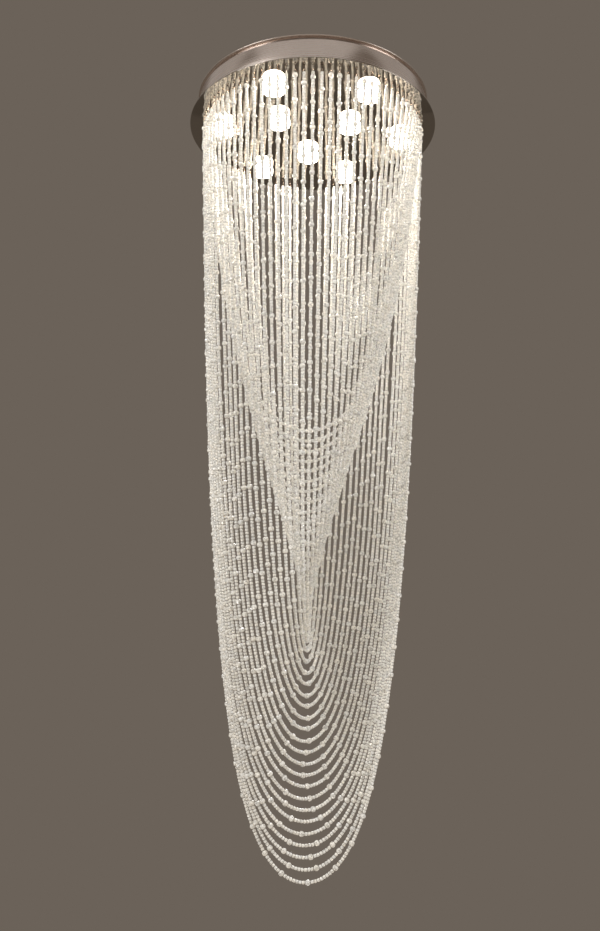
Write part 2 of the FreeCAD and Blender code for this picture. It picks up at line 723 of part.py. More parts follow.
def make_holder_fixings():
    """The strap, the two screws and the two contacts of each lampholder."""
    keep(group_of("strap_set", at_each_lamp(lamp_strap())), "lamp_straps")
    half_spacing = size("holder_screw_spacing") / 2
    screws = []
    for side in (1, -1):
        screws += at_each_lamp(holder_screw().translated(Vector(side * half_spacing, 0, 0)))
    keep(group_of("holder_screw_set", screws), "holder_screws")
    contacts = []
    for pin in (0, 180):
        contacts += at_each_lamp(holder_contact().rotated(Vector(), Vector(0, 0, 1), pin))
    keep(group_of("holder_contact_set", contacts), "holder_contacts")


# Garlands


def hook_seat():
    """Height of the middle of a hook's wire, where the end ring hangs."""
    return number(f"{PLATE_UNDER} - sizes.hook_drop")


def ring_middle():
    """Height of the middle of an end ring, which hangs just under the wire that carries it."""
    drop = (size("ring_diameter") - size("ring_wire") - size("hook_wire")) / 2
    return hook_seat() - drop + size("seat_clearance") / 2


def garland_top():
    """Height of the first bead of a garland."""
    return ring_middle() - (size("ring_diameter") + size("ring_wire") + size("seat_clearance")) / 2


def make_strand_hooks():
    """A hook of bent wire with a flat head above the plate, twice for each garland."""
    wire_radius = size("hook_wire") / 2
    bend = size("hook_bend")
    seat = hook_seat()
    above = number(PLATE_TOP)
    ring_radius = number(HOOK_CIRCLE_RADIUS)
    top = Vector(ring_radius - bend, 0, above)
    bend_start = Vector(ring_radius - bend, 0, seat + bend)
    lowest = Vector(ring_radius, 0, seat)
    bend_end = Vector(ring_radius + bend, 0, seat + bend)
    shank = Part.LineSegment(top, bend_start).toShape()
    curl = Part.Arc(bend_start, lowest, bend_end).toShape()
    wire = tube(Part.Wire([shank, curl]), top, Vector(0, 0, -1), 2 * wire_radius)
    head = Part.makeCylinder(size("hook_head") / 2, size("hook_head_height"), top)
    single = wire.fuse(head)
    made = []
    for step in range(HOOKS):
        made.append(single.rotated(Vector(), Vector(0, 0, 1), step * HOOK_PITCH))
    return keep(group_of("hook_set", made), "strand_hooks")


def catenary_scale(half_span, drop):
    """The scale a for which a * (cosh(x / a) - 1) reaches drop at half_span, found by halving."""
    low = half_span / SCALE_SEARCH
    high = half_span * SCALE_SEARCH
    for _ in range(HALVINGS):
        middle = (low + high) / 2
        if middle * (math.cosh(half_span / middle) - 1) > drop:
            low = middle
        else:
            high = middle
    return (low + high) / 2


def loop_route(half_span, drop):
    """The corners of a garland's route in its own plane, from one hook to the other, with 0 at its bottom.

    A hanging string follows a catenary, and beads keep it from bending tighter than bead_bend, so the
    line is a catenary moved outward by that much. The runs are tangents of that line.
    """
    bend = size("bead_bend")
    scale = catenary_scale(half_span - bend, drop - bend)
    steepest = min((half_span - bend) / scale, STEEPEST_TANGENT)
    tangents = []
    for step in range(int(steepest / TANGENT_STEP) + 1):
        along = step * TANGENT_STEP
        slope = math.sinh(along)
        lean = math.atan(slope)
        x = scale * along + bend * math.sin(lean)
        z = scale * (math.cosh(along) - 1) + bend * (1 - math.cos(lean))
        tangents.append((slope, z - slope * x))
    half = []
    for (slope, height), (next_slope, next_height) in zip(tangents, tangents[1:]):
        x = (height - next_height) / (next_slope - slope)
        half.append((x, height + slope * x))
    half.append((half_span, drop))
    return [(-x, z) for x, z in reversed(half)] + half


def make_garland(depth, across):
    """One garland as a plain tube of its beads' thickness, with a ring at each end.

    Across is the level direction from its one hook to the other, through the axis.
    """
    reach = number(HOOK_CIRCLE_RADIUS)
    bottom = number(PLATE_UNDER) - depth + size("bead_diameter") / 2
    route = loop_route(reach, garland_top() - bottom)
    points = [across * x + Vector(0, 0, bottom + z) for x, z in route]
    wire, radii = rounded_wire(points)
    strand = tube(wire, points[0], points[1] - points[0], size("bead_diameter"))
    expected = math.pi * size("bead_diameter") ** 2 / 4 * wire.Length
    print(
        f"garland {depth:6.0f} mm deep: {wire.Length:6.0f} mm long, least radius {min(radii):5.1f} mm, "
        f"volume {strand.Volume / expected:.4f} of section times length"
    )
    rings = []
    for side in (-1, 1):
        middle = across * (side * reach) + Vector(0, 0, ring_middle())
        outward = Vector(middle.x, middle.y, 0)
        rings.append(Part.makeTorus(size("ring_diameter") / 2, size("ring_wire") / 2, middle, outward))
    return [strand] + rings


def make_garlands():
    """Every garland, from the shortest to the longest, each one hook further round the ring."""
    step = (size("longest_drop") - size("shortest_drop")) / (GARLANDS - 1)
    for group in range(GARLANDS // GARLANDS_PER_NODE):
        shapes = []
        for garland in range(group * GARLANDS_PER_NODE, (group + 1) * GARLANDS_PER_NODE):
            turn = math.radians((FRONT_TO_BACK - garland) * HOOK_PITCH)
            across = Vector(math.sin(turn), -math.cos(turn), 0)
            shapes += make_garland(size("shortest_drop") + garland * step, across)
        name = f"garlands_{group + 1:02d}"
        keep(group_of(f"{name}_beads", shapes), name)


def build():
    """Makes every sub-part."""
    make_ceiling_bracket()
    make_canopy_drum()
    make_mirror_plate()
    make_bolt_sets()
    make_cable_bush()
    make_earth_screw()
    make_terminal_block()
    make_terminal_screws()
    for number_of, (x, y, angle) in enumerate(lamp_places(), start=1):
        make_lampholder(number_of, x, y, angle)
        make_lamp(number_of, x, y, angle)
    make_holder_fixings()
    make_strand_hooks()
    make_garlands()
    doc.recompute()


def check():
    """Stops if any object has failed or any sub-part has no valid shape."""
    for obj in doc.Objects:
        if "Invalid" in obj.State or "Error" in obj.State:
            raise RuntimeError(f"{obj.Name} has failed: {obj.State}")
    for node in nodes:
        if node.Shape.isNull() or not node.Shape.isValid() or not node.Shape.Solids:
            raise RuntimeError(f"{node.Label} has no valid solid")


def write():
    """Writes each sub-part to its own file."""
    os.makedirs("parts", exist_ok=True)
    for node in nodes:
        node.Shape.exportStep(os.path.join("parts", f"{node.Label}.step"))
        print(f"{node.Label}: {len(node.Shape.Solids)} solids, {node.Shape.Volume / 1000:.2f} cm3")


build()
check()
write()
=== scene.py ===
import math
import random

import bmesh
import bpy
from bpy.props import FloatProperty, FloatVectorProperty, IntProperty, PointerProperty
from mathutils import Matrix, Vector


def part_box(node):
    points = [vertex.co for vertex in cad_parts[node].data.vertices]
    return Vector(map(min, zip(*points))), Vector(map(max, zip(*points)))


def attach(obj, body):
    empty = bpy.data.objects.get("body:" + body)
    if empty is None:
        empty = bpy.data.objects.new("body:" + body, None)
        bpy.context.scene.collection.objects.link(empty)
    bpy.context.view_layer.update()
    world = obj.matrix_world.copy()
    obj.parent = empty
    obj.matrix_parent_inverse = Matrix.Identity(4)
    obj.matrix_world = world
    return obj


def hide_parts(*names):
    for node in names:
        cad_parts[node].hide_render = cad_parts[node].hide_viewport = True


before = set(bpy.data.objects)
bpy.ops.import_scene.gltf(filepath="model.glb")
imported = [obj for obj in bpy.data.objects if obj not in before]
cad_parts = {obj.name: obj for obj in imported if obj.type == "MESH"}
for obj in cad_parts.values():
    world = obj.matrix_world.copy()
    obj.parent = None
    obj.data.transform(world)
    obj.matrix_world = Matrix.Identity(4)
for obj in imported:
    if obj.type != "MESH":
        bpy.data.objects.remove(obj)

bl_info = {
    "name": "Crystal Rain Chandelier",
    "version": (1, 0, 0),
    "blender": (4, 5, 0),
    "location": "3D View > Sidebar > Chandelier",
    "description": "Strings, hangs and lights the glass bead garlands of a round ceiling light",
    "category": "Object",
}

FIXTURE = "fixture"
LAMPS = [f"lamp_{number}" for number in range(1, 10)]
GARLANDS = 42
GARLANDS_PER_NODE = 2  # neighbouring garlands that share a CAD node
FRONT_TO_BACK = 19  # so many garlands are shorter than the one that hangs from front to back
UNDECLARED = 2  # the shortest garlands, which the end of the garland loop passes over

# The route of a garland, as in the part's source.
TANGENT_STEP = 0.55  # between the tangents of a garland's route, in units of its catenary scale
STEEPEST_TANGENT = 4.7  # past this a garland is within a degree of plumb, and runs straight
SCALE_SEARCH = 60  # a catenary's scale is looked for from 1 / this to this many times its half span
HALVINGS = 80  # steps of that search

TOUCHING = 1e-6  # corners of a mesh this near each other, in metres, are one
DRILLED_END = 0.9  # how far from its middle a bead's flat end is, as part of half its length
BIG_BEAD_LENGTH = 0.94  # of a big bead, as part of its width
ROW_CHANGES = (-1, 0, 0, 0, 1)  # small beads that a row may have more than usual, each as likely
CRIMP = 0.003  # length of the crimp under an end ring, in metres
LAMP_STEPS = 48  # round a lamp, two to each flute of its reflector
FLUTE = 0.965  # radius in a flute of the reflector, as part of the radius beside it
SIDE_GLOW = 1 / 15  # glow of a lamp's reflector glass, as part of its front glass's
LIGHTS_AIM = Vector((0, 0, -0.9))  # half way down the object

# A colour mix's sockets go by number, because several share a name.
MIX_FACTOR, MIX_FIRST, MIX_SECOND, MIX_RESULT = 0, 6, 7, 2

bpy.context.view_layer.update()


def linear(hex_colour):
    """An sRGB hex value as linear red, green and blue."""
    channels = [int(hex_colour[place : place + 2], 16) / 255 for place in (1, 3, 5)]
    return [c / 12.92 if c <= 0.04045 else ((c + 0.055) / 1.055) ** 2.4 for c in channels]


def length(name, description, default):
    """A size of the object, in metres."""
    return FloatProperty(
        name=name, description=description, default=default, min=0, unit="LENGTH", precision=4
    )


def colour(name, description, hex_colour):
    """A colour of one of the object's finishes."""
    return FloatVectorProperty(
        name=name, description=description, default=linear(hex_colour), min=0, max=1, size=3, subtype="COLOR"
    )


def camera_turn(name, description, degrees):
    """A turn of the camera, given in degrees."""
    return FloatProperty(
        name=name, description=description, default=math.radians(degrees), subtype="ANGLE"
    )


class ChandelierSizes(bpy.types.PropertyGroup):
    """What is strung and hung on the canopy."""

    hook_circle: length("Hook Circle", "Radius of the circle that the garlands hang on", 0.266)
    ring_middle: length("End Rings", "How far the middle of an end ring is below the ceiling", 0.08045)
    first_bead: length("First Bead", "How far a garland starts below the ceiling", 0.0842)
    plate_under: length("Plate", "How far the mirror plate's under side is below the ceiling", 0.072)
    shortest: length("Shortest Garland", "Its depth below the plate", 0.770)
    longest: length("Longest Garland", "Its depth below the plate", 1.738)
    bend: length("Tightest Bend", "Smallest radius that a string of beads takes", 0.0085)
    thread: length("Thread", "Thickness of the nylon thread", 0.001)
    small_bead: length("Small Beads", "Width of a small bead", 0.0076)
    small_bead_length: length("Small Bead Length", "Length of a small bead along its thread", 0.0067)
    small_pitch: length("Small Bead Pitch", "From one small bead to the next", 0.0068)
    big_bead: length("Big Beads", "Diameter of a big bead", 0.0125)
    big_pitch: length("Big Bead Pitch", "Length of thread that a big bead takes", 0.0118)
    small_in_row: IntProperty(
        name="Small Beads in a Row", description="Usual number between two big ones", default=7, min=1
    )
    ring: length("End Ring", "Radius of an end ring, at the middle of its wire", 0.003)
    ring_wire: length("Ring Wire", "Thickness of an end ring's wire", 0.0012)
    sway: length("Sway", "How far the bottom of a garland may hang off the middle", 0.0015)
    slack: length("Slack", "How much higher the bottom of a garland may hang", 0.003)
    seed: IntProperty(
        name="Seed", description="Starts the chance of how the beads are strung", default=7, min=0
    )


class ChandelierFinishes(bpy.types.PropertyGroup):
    """Colours and lights."""

    crystal_warm: colour("Crystal, Warm", "Warmest tint of the crystal beads", "#FFFAF1")
    crystal_cool: colour("Crystal, Cool", "Coolest tint of the crystal beads", "#F6F4F0")
    steel: colour("Polished Steel", "Drum and washers", "#DBCDC3")
    mirror: colour("Mirror Plate", "Polished under side of the plate", "#ABA49B")
    zinc: colour("Zinc Plate", "Bracket, bolts and nuts", "#B4B7B8")
    porcelain: colour("Porcelain", "Lampholders", "#F1EDE2")
    light: colour("Lamp Light", "Colour of the lit lamps", "#FFF8EC")
    lamp_glow: FloatProperty(
        name="Lamp Glow", description="Strength of a lamp's front glass", default=37, min=0
    )


class ChandelierStage(bpy.types.PropertyGroup):
    """Where the camera stands, and what is behind the object."""

    distance: length("Camera Distance", "From the object's axis to the camera", 2.26)
    eye_drop: length("Camera Height", "How far the camera is below the ceiling", 1.425)
    pitch: camera_turn("Pitch", "How far the camera looks up", 13.2)
    yaw: camera_turn("Yaw", "How far the camera looks left", 0.52)
    roll: camera_turn("Roll", "How far the camera leans left", 0.73)
    lens: FloatProperty(
        name="Lens", description="Focal length for a picture 36 mm wide", default=61.02, unit="CAMERA"
    )
    shift: FloatProperty(name="Shift", description="Vertical shift, in picture widths", default=-0.0158)
    floor_drop: length("Floor", "How far the floor is below the ceiling", 2.9)
    floor_radius: length("Floor Radius", "Radius of the round floor", 4.6)
    floor_fade: length("Floor Fade", "How far out the floor starts to fade into the background", 1.8)
    backdrop: colour("Backdrop", "Background, and the floor's edge", "#6B6259")
    floor: colour("Floor", "Middle of the floor", "#C9C0B5")


# Making


def add_object(name, data):
    """Puts a new object into the scene, at the origin."""
    made = bpy.data.objects.new(name, data)
    bpy.context.scene.collection.objects.link(made)
    return made


def mesh_from(bm, name, materials=(), smooth_angle=None):
    """Turns a finished bmesh into a mesh, smooth over edges flatter than smooth_angle where that is given."""
    mesh = bpy.data.meshes.new(name)
    if smooth_angle is not None:
        for face in bm.faces:
            face.smooth = True
        for edge in bm.edges:
            edge.smooth = edge.calc_face_angle(0) < smooth_angle
    bm.to_mesh(mesh)
    bm.free()
    for material in materials:
        mesh.materials.append(material)
    return mesh


def turned_profile(profile, steps, material_of=None):
    """A bmesh turned round Z from (radius, height) points.

    Where material_of is given, it says which of the materials a face has, from the height of its middle.
    """
    bm = bmesh.new()
    corners = [bm.verts.new((radius, 0, height)) for radius, height in profile]
    edges = [bm.edges.new(pair) for pair in zip(corners, corners[1:])]
    bmesh.ops.spin(
        bm,
        geom=corners + edges,
        cent=(0, 0, 0),
        axis=(0, 0, 1),
        angle=math.tau,
        steps=steps,
        use_merge=True,
    )
    bmesh.ops.remove_doubles(bm, verts=bm.verts, dist=TOUCHING)
    bmesh.ops.recalc_face_normals(bm, faces=bm.faces)
    if material_of is not None:
        for face in bm.faces:
            face.material_index = material_of(face.calc_center_median().z)
    return bm


# Materials


def new_material(name):
    """An empty material and its node tree."""
    made = bpy.data.materials.new(name)
    made.use_nodes = True
    made.node_tree.nodes.clear()
    return made, made.node_tree


def add_node(tree, kind, sockets=None, **settings):
    """Adds a node with its settings. A socket gets a value, or the output that feeds it."""
    node = tree.nodes.new(kind)
    for name, value in settings.items():
        setattr(node, name, value)
    for name, value in (sockets or {}).items():
        if isinstance(value, bpy.types.NodeSocket):
            tree.links.new(value, node.inputs[name])
        else:
            node.inputs[name].default_value = value
    return node


def rgba(rgb):
    """A colour as a socket takes it."""
    return (*rgb, 1)


def crystal(name, finishes, least, most):
    """Cut crystal glass, strung as beads. Its facets let from least to most of the light straight through.

    Clear lead-free crystal, pressed and fire polished. A string of it looks milky white, because light goes
    from bead to bead and comes out everywhere, while single facets flash or let the eye through. Each facet
    is therefore clear in part and bright in part, by its own cut attribute.
    """
    made, tree = new_material(name)
    shade = add_node(tree, "ShaderNodeAttribute", attribute_name="shade")
    cut = add_node(tree, "ShaderNodeAttribute", attribute_name="cut")
    tint = add_node(
        tree,
        "ShaderNodeMix",
        {
            MIX_FACTOR: shade.outputs["Fac"],
            MIX_FIRST: rgba(finishes.crystal_cool),
            MIX_SECOND: rgba(finishes.crystal_warm),
        },
        data_type="RGBA",
    )
    # A third of the facets let least through, and the others more, the sharper they are cut.
    clear = add_node(
        tree,
        "ShaderNodeMapRange",
        {"Value": cut.outputs["Fac"], "From Min": 0.35, "To Min": least, "To Max": most},
    )
    rough = add_node(
        tree,
        "ShaderNodeMapRange",
        {"Value": cut.outputs["Fac"], "To Min": 0.12, "To Max": 0.02},
    )
    glass = add_node(
        tree,
        "ShaderNodeBsdfPrincipled",
        {
            "Base Color": tint.outputs[MIX_RESULT],
            "Roughness": rough.outputs[0],
            "IOR": 1.54,
            "Transmission Weight": clear.outputs[0],
        },
    )
    add_node(tree, "ShaderNodeOutputMaterial", {"Surface": glass.outputs[0]})
    return made


def nylon(finishes):
    """Clear drawn nylon line, which is seen as a pale thread between the beads."""
    made, tree = new_material("Nylon thread")
    line = add_node(
        tree,
        "ShaderNodeBsdfPrincipled",
        {
            "Base Color": rgba(finishes.crystal_cool),
            "Roughness": 0.25,
            "IOR": 1.53,
            "Transmission Weight": 0.6,
        },
    )
    add_node(tree, "ShaderNodeOutputMaterial", {"Surface": line.outputs[0]})
    return made


def polished_steel(finishes):
    """Rolled and polished stainless sheet: a soft mirror with faint rolling lines round the drum."""
    made, tree = new_material("Polished stainless steel")
    place = add_node(tree, "ShaderNodeTexCoord")
    # Rolling lines run round the drum about 1.5 mm apart, so the pattern is squeezed in height.
    stretch = add_node(tree, "ShaderNodeMapping", {"Vector": place.outputs["Object"], "Scale": (4, 4, 660)})
    lines = add_node(tree, "ShaderNodeTexNoise", {"Vector": stretch.outputs[0], "Scale": 1, "Detail": 3})
    rough = add_node(
        tree,
        "ShaderNodeMapRange",
        {"Value": lines.outputs[0], "From Min": 0.3, "From Max": 0.7, "To Min": 0.22, "To Max": 0.31},
    )
    # Handling leaves cloudy smudges some 40 mm across.
    smudge = add_node(
        tree, "ShaderNodeTexNoise", {"Vector": place.outputs["Object"], "Scale": 25, "Detail": 2}
    )
    tone = add_node(
        tree,
        "ShaderNodeMix",
        {
            MIX_FACTOR: smudge.outputs[0],
            MIX_FIRST: rgba(finishes.steel),
            MIX_SECOND: rgba([0.88 * c for c in finishes.steel]),
        },
        data_type="RGBA",
    )
    metal = add_node(
        tree,
        "ShaderNodeBsdfPrincipled",
        {"Base Color": tone.outputs[MIX_RESULT], "Metallic": 1, "Roughness": rough.outputs[0]},
    )
    add_node(tree, "ShaderNodeOutputMaterial", {"Surface": metal.outputs[0]})
    return made


def mirror_steel(finishes):
    """Super-mirror stainless plate: a clear reflection, with the slight waves of thin sheet."""
    made, tree = new_material("Mirror-polished plate")
    place = add_node(tree, "ShaderNodeTexCoord")
    # The sheet waves gently, some 100 mm from crest to crest.
    waves = add_node(
        tree, "ShaderNodeTexNoise", {"Vector": place.outputs["Object"], "Scale": 10, "Detail": 1}
    )
    bump = add_node(
        tree, "ShaderNodeBump", {"Height": waves.outputs[0], "Strength": 0.12, "Distance": 0.004}
    )
    # Wiping leaves a faint haze in patches some 17 mm across.
    haze = add_node(
        tree, "ShaderNodeTexNoise", {"Vector": place.outputs["Object"], "Scale": 60, "Detail": 4}
    )
    rough = add_node(
        tree,
        "ShaderNodeMapRange",
        {"Value": haze.outputs[0], "From Min": 0.35, "From Max": 0.75, "To Min": 0.02, "To Max": 0.06},
    )
    metal = add_node(
        tree,
        "ShaderNodeBsdfPrincipled",
        {
            "Base Color": rgba(finishes.mirror),
            "Metallic": 1,
            "Roughness": rough.outputs[0],
            "Normal": bump.outputs[0],
        },
    )
    add_node(tree, "ShaderNodeOutputMaterial", {"Surface": metal.outputs[0]})
    return made


def plated_metal(name, base, low, high, grain):
    """A plated or drawn metal part, with a fine mottle between two roughnesses.

    The real crystals of the metal are too fine to show, so the mottle is drawn grain metres across.
    """
    made, tree = new_material(name)
    place = add_node(tree, "ShaderNodeTexCoord")
    mottle = add_node(
        tree, "ShaderNodeTexNoise", {"Vector": place.outputs["Object"], "Scale": 1 / grain, "Detail": 4}
    )
    rough = add_node(
        tree,
        "ShaderNodeMapRange",
        {"Value": mottle.outputs[0], "From Min": 0.3, "From Max": 0.7, "To Min": low, "To Max": high},
    )
    tone = add_node(
        tree,
        "ShaderNodeMix",
        {
            MIX_FACTOR: mottle.outputs[0],
            MIX_FIRST: rgba(base),
            MIX_SECOND: rgba([0.8 * c for c in base]),
        },
        data_type="RGBA",
    )
    metal = add_node(
        tree,
        "ShaderNodeBsdfPrincipled",
        {"Base Color": tone.outputs[MIX_RESULT], "Metallic": 1, "Roughness": rough.outputs[0]},
    )
    add_node(tree, "ShaderNodeOutputMaterial", {"Surface": metal.outputs[0]})
    return made


def moulded(name, base, roughness, grain, depth):
    """A moulded or fired part with a fine uneven skin, grain metres across and depth metres deep."""
    made, tree = new_material(name)
    place = add_node(tree, "ShaderNodeTexCoord")
    skin = add_node(
        tree, "ShaderNodeTexNoise", {"Vector": place.outputs["Object"], "Scale": 1 / grain, "Detail": 3}
    )
    bump = add_node(tree, "ShaderNodeBump", {"Height": skin.outputs[0], "Strength": 0.5, "Distance": depth})
    tone = add_node(
        tree,
        "ShaderNodeMix",
        {
            MIX_FACTOR: skin.outputs[0],
            MIX_FIRST: rgba(base),
            MIX_SECOND: rgba([0.9 * c for c in base]),
        },
        data_type="RGBA",
    )
    body = add_node(
        tree,
        "ShaderNodeBsdfPrincipled",
        {"Base Color": tone.outputs[MIX_RESULT], "Roughness": roughness, "Normal": bump.outputs[0]},
    )
    add_node(tree, "ShaderNodeOutputMaterial", {"Surface": body.outputs[0]})
    return made


def lit_glass(name, finishes, strength):
    """Pressed lamp glass with light behind it. Its pebbled back spreads the light."""
    made, tree = new_material(name)
    place = add_node(tree, "ShaderNodeTexCoord")
    # The pebbles are 3 mm across.
    pebbles = add_node(tree, "ShaderNodeTexVoronoi", {"Vector": place.outputs["Object"], "Scale": 330})
    bump = add_node(
        tree, "ShaderNodeBump", {"Height": pebbles.outputs[0], "Strength": 0.4, "Distance": 0.0006}
    )
    body = add_node(
        tree,
        "ShaderNodeBsdfPrincipled",
        {
            "Base Color": rgba(finishes.light),
            "Roughness": 0.2,
            "Normal": bump.outputs[0],
            "Emission Color": rgba(finishes.light),
            "Emission Strength": strength,
        },
    )
    add_node(tree, "ShaderNodeOutputMaterial", {"Surface": body.outputs[0]})
    return made


# Garlands


def catenary_scale(half_span, drop):
    """The scale a for which a * (cosh(x / a) - 1) reaches drop at half_span, found by halving."""
    low = half_span / SCALE_SEARCH
    high = half_span * SCALE_SEARCH
    for _ in range(HALVINGS):
        middle = (low + high) / 2
        if middle * (math.cosh(half_span / middle) - 1) > drop:
            low = middle
        else:
            high = middle
    return (low + high) / 2


def loop_route(half_span, drop, bend):
    """The corners of a garland's route in its own plane, from one hook to the other, with 0 at its bottom.

    A hanging string follows a catenary, and beads keep it from bending tighter than bend, so the line is a
    catenary moved outward by that much. The runs are tangents of that line.
    """
    scale = catenary_scale(half_span - bend, drop - bend)
    steepest = min((half_span - bend) / scale, STEEPEST_TANGENT)
    tangents = []
    for step in range(int(steepest / TANGENT_STEP) + 1):
        along = step * TANGENT_STEP
        slope = math.sinh(along)
        lean = math.atan(slope)
        x = scale * along + bend * math.sin(lean)
        z = scale * (math.cosh(along) - 1) + bend * (1 - math.cos(lean))
        tangents.append((slope, z - slope * x))
    half = []
    for (slope, height), (next_slope, next_height) in zip(tangents, tangents[1:]):
        x = (height - next_height) / (next_slope - slope)
        half.append((x, height + slope * x))
    half.append((half_span, drop))
    return [(-x, z) for x, z in reversed(half)] + half


def garland_plans(sizes):
    """Each garland's name, CAD node, level direction across the ring and height of its bottom.

    They go from the shortest to the longest, each turned a little from the one before it.
    """
    plans = []
    step = (sizes.longest - sizes.shortest) / (GARLANDS - 1)
    for garland in range(GARLANDS):
        turn = (FRONT_TO_BACK - garland) * math.pi / GARLANDS
        plans.append(
            {
                "name": f"garland_{garland + 1:02d}",
                "node": f"garlands_{garland // GARLANDS_PER_NODE + 1:02d}",
                "across": Vector((math.sin(turn), -math.cos(turn), 0)),
                "bottom": -sizes.plate_under - sizes.shortest - garland * step + sizes.small_bead / 2,
            }
        )
    return plans


def hang_thread(plan, sizes, material, chance):
    """The nylon thread of a garland, as one smooth curve from hook to hook.

    No two are strung quite alike, so each bottom hangs a little aside and a little high.
    """
    drop = -sizes.first_bead - plan["bottom"]
    curve = bpy.data.curves.new(f"{plan['name']}_thread", "CURVE")
    curve.dimensions = "3D"
    curve.bevel_depth = sizes.thread / 2
    curve.bevel_resolution = 0
    curve.use_fill_caps = True
    curve.materials.append(material)
    spline = curve.splines.new("NURBS")
    route = loop_route(sizes.hook_circle, drop, sizes.bend)
    spline.points.add(len(route) - 1)
    sway = chance.uniform(-sizes.sway, sizes.sway)
    slack = chance.uniform(-sizes.slack, 0)
    for knot, (x, z) in zip(spline.points, route):
        low = 1 - z / drop
        place = plan["across"] * (x + sway * low**2)
        knot.co = (place.x, place.y, plan["bottom"] + z - slack * low**2, 1)
    spline.order_u = 3
    spline.use_endpoint_u = True
    return add_object(curve.name, curve)


def line_of(thread):
    """Points along a thread's own curve, each with its distance from the start."""
    bare = thread.data.copy()
    bare.bevel_depth = 0
    probe = bpy.data.objects.new("probe", bare)
    line = bpy.data.meshes.new_from_object(probe)
    points = [vertex.co.copy() for vertex in line.vertices]
    bpy.data.objects.remove(probe)
    bpy.data.curves.remove(bare)
    bpy.data.meshes.remove(line)
    stations = [(0.0, points[0])]
    for before, after in zip(points, points[1:]):
        stations.append((stations[-1][0] + (after - before).length, after))
    return stations


def strung_frames(stations, distances, chance):
    """A turned frame on the line for each distance, its Z along the line."""
    frames = []
    index = 0
    for distance in distances:
        while stations[index + 1][0] < distance:
            index += 1
        (start, before), (end, after) = stations[index], stations[index + 1]
        place = before.lerp(after, (distance - start) / (end - start))
        along = (after - before).to_track_quat("Z", "Y").to_matrix().to_4x4()
        turn = Matrix.Rotation(chance.uniform(0, math.tau), 4, "Z")
        frames.append(Matrix.Translation(place) @ along @ turn)
    return frames


def bead_distances(total, sizes, chance):
    """How far along a string its small and its big beads are. They fill it from end to end.

    Now and then a row has one small bead more or less.
    """
    left_in_row = chance.randrange(sizes.small_in_row)
    pitches = []
    while sum(pitches) < total - sizes.small_pitch / 2:
        if left_in_row == 0:
            pitches.append(sizes.big_pitch)
            left_in_row = sizes.small_in_row + chance.choice(ROW_CHANGES)
        else:
            pitches.append(sizes.small_pitch)
            left_in_row -= 1
    ease = total / sum(pitches)
    small = []
    big = []
    start = 0
    for pitch in pitches:
        (big if pitch == sizes.big_pitch else small).append((start + pitch / 2) * ease)
        start += pitch
    return small, big


def cut_bead(name, width, height, segments, rings, fullness):
    """A faceted bead: a ball cut into flat facets, with its equator turned half a facet.

    Fullness swells the ball between its equator and its drilled ends, which are flat.
    """
    bm = bmesh.new()
    bmesh.ops.create_uvsphere(bm, u_segments=segments, v_segments=rings, radius=width / 2)
    equator = [vertex for vertex in bm.verts if abs(vertex.co.z) < TOUCHING]
    bmesh.ops.rotate(bm, verts=equator, cent=(0, 0, 0), matrix=Matrix.Rotation(math.pi / segments, 3, "Z"))
    bmesh.ops.triangulate(bm, faces=bm.faces, quad_method="SHORT_EDGE")
    poles = [vertex for vertex in bm.verts if abs(vertex.co.z) > width / 2 - TOUCHING]
    shoulders = [vertex for vertex in bm.verts if vertex not in equator and vertex not in poles]
    bmesh.ops.scale(bm, verts=shoulders, vec=(fullness, fullness, fullness))
    bmesh.ops.scale(bm, verts=poles, vec=(1, 1, DRILLED_END))
    bmesh.ops.scale(bm, verts=bm.verts, vec=(1, 1, height / width))
    bmesh.ops.recalc_face_normals(bm, faces=bm.faces)
    return mesh_from(bm, name)


def string_beads(name, bead, frames, material, chance):
    """One mesh of copies of a bead, one on each frame. Each has its own shade, and each facet its own cut."""
    bm = bmesh.new()
    for place in frames:
        single = bead.copy()
        single.transform(place)
        bm.from_mesh(single)
        bpy.data.meshes.remove(single)
    mesh = mesh_from(bm, name, [material])
    shades = []
    for _ in frames:
        shades += [chance.random()] * len(bead.polygons)
    mesh.attributes.new("shade", "FLOAT", "FACE").data.foreach_set("value", shades)
    cuts = [chance.random() for _ in shades]
    mesh.attributes.new("cut", "FLOAT", "FACE").data.foreach_set("value", cuts)
    return add_object(name, mesh)


def end_rings(plan, sizes, material):
    """The two end rings of a garland, each with the crimp that closes the thread under it."""
    bm = bmesh.new()
    for side in (-1, 1):
        middle = plan["across"] * side * sizes.hook_circle - Vector((0, 0, sizes.ring_middle))
        outward = Vector((middle.x, middle.y, 0)).normalized()
        across = Vector((-outward.y, outward.x, 0))
        wire = bmesh.ops.create_circle(bm, segments=6, radius=sizes.ring_wire / 2)["verts"]
        # The wire's section stands at the ring's lowest point, square to the way round.
        facing = Matrix((outward, Vector((0, 0, 1)), across)).transposed()
        bmesh.ops.rotate(bm, verts=wire, cent=(0, 0, 0), matrix=facing)
        bmesh.ops.translate(bm, verts=wire, vec=middle - Vector((0, 0, sizes.ring)))
        edges = list({edge for vertex in wire for edge in vertex.link_edges})
        bmesh.ops.spin(
            bm, geom=wire + edges, cent=middle, axis=outward, angle=math.tau, steps=14, use_merge=True
        )
        crimp = bmesh.ops.create_cone(
            bm, cap_ends=True, segments=8, radius1=sizes.ring_wire, radius2=sizes.ring_wire, depth=CRIMP
        )["verts"]
        bmesh.ops.translate(bm, verts=crimp, vec=(middle.x, middle.y, -sizes.first_bead - CRIMP / 2))
    bmesh.ops.remove_doubles(bm, verts=bm.verts, dist=TOUCHING)
    bmesh.ops.recalc_face_normals(bm, faces=bm.faces)
    mesh = mesh_from(bm, f"{plan['name']}_rings", [material], smooth_angle=math.radians(40))
    return add_object(mesh.name, mesh)


# Operators


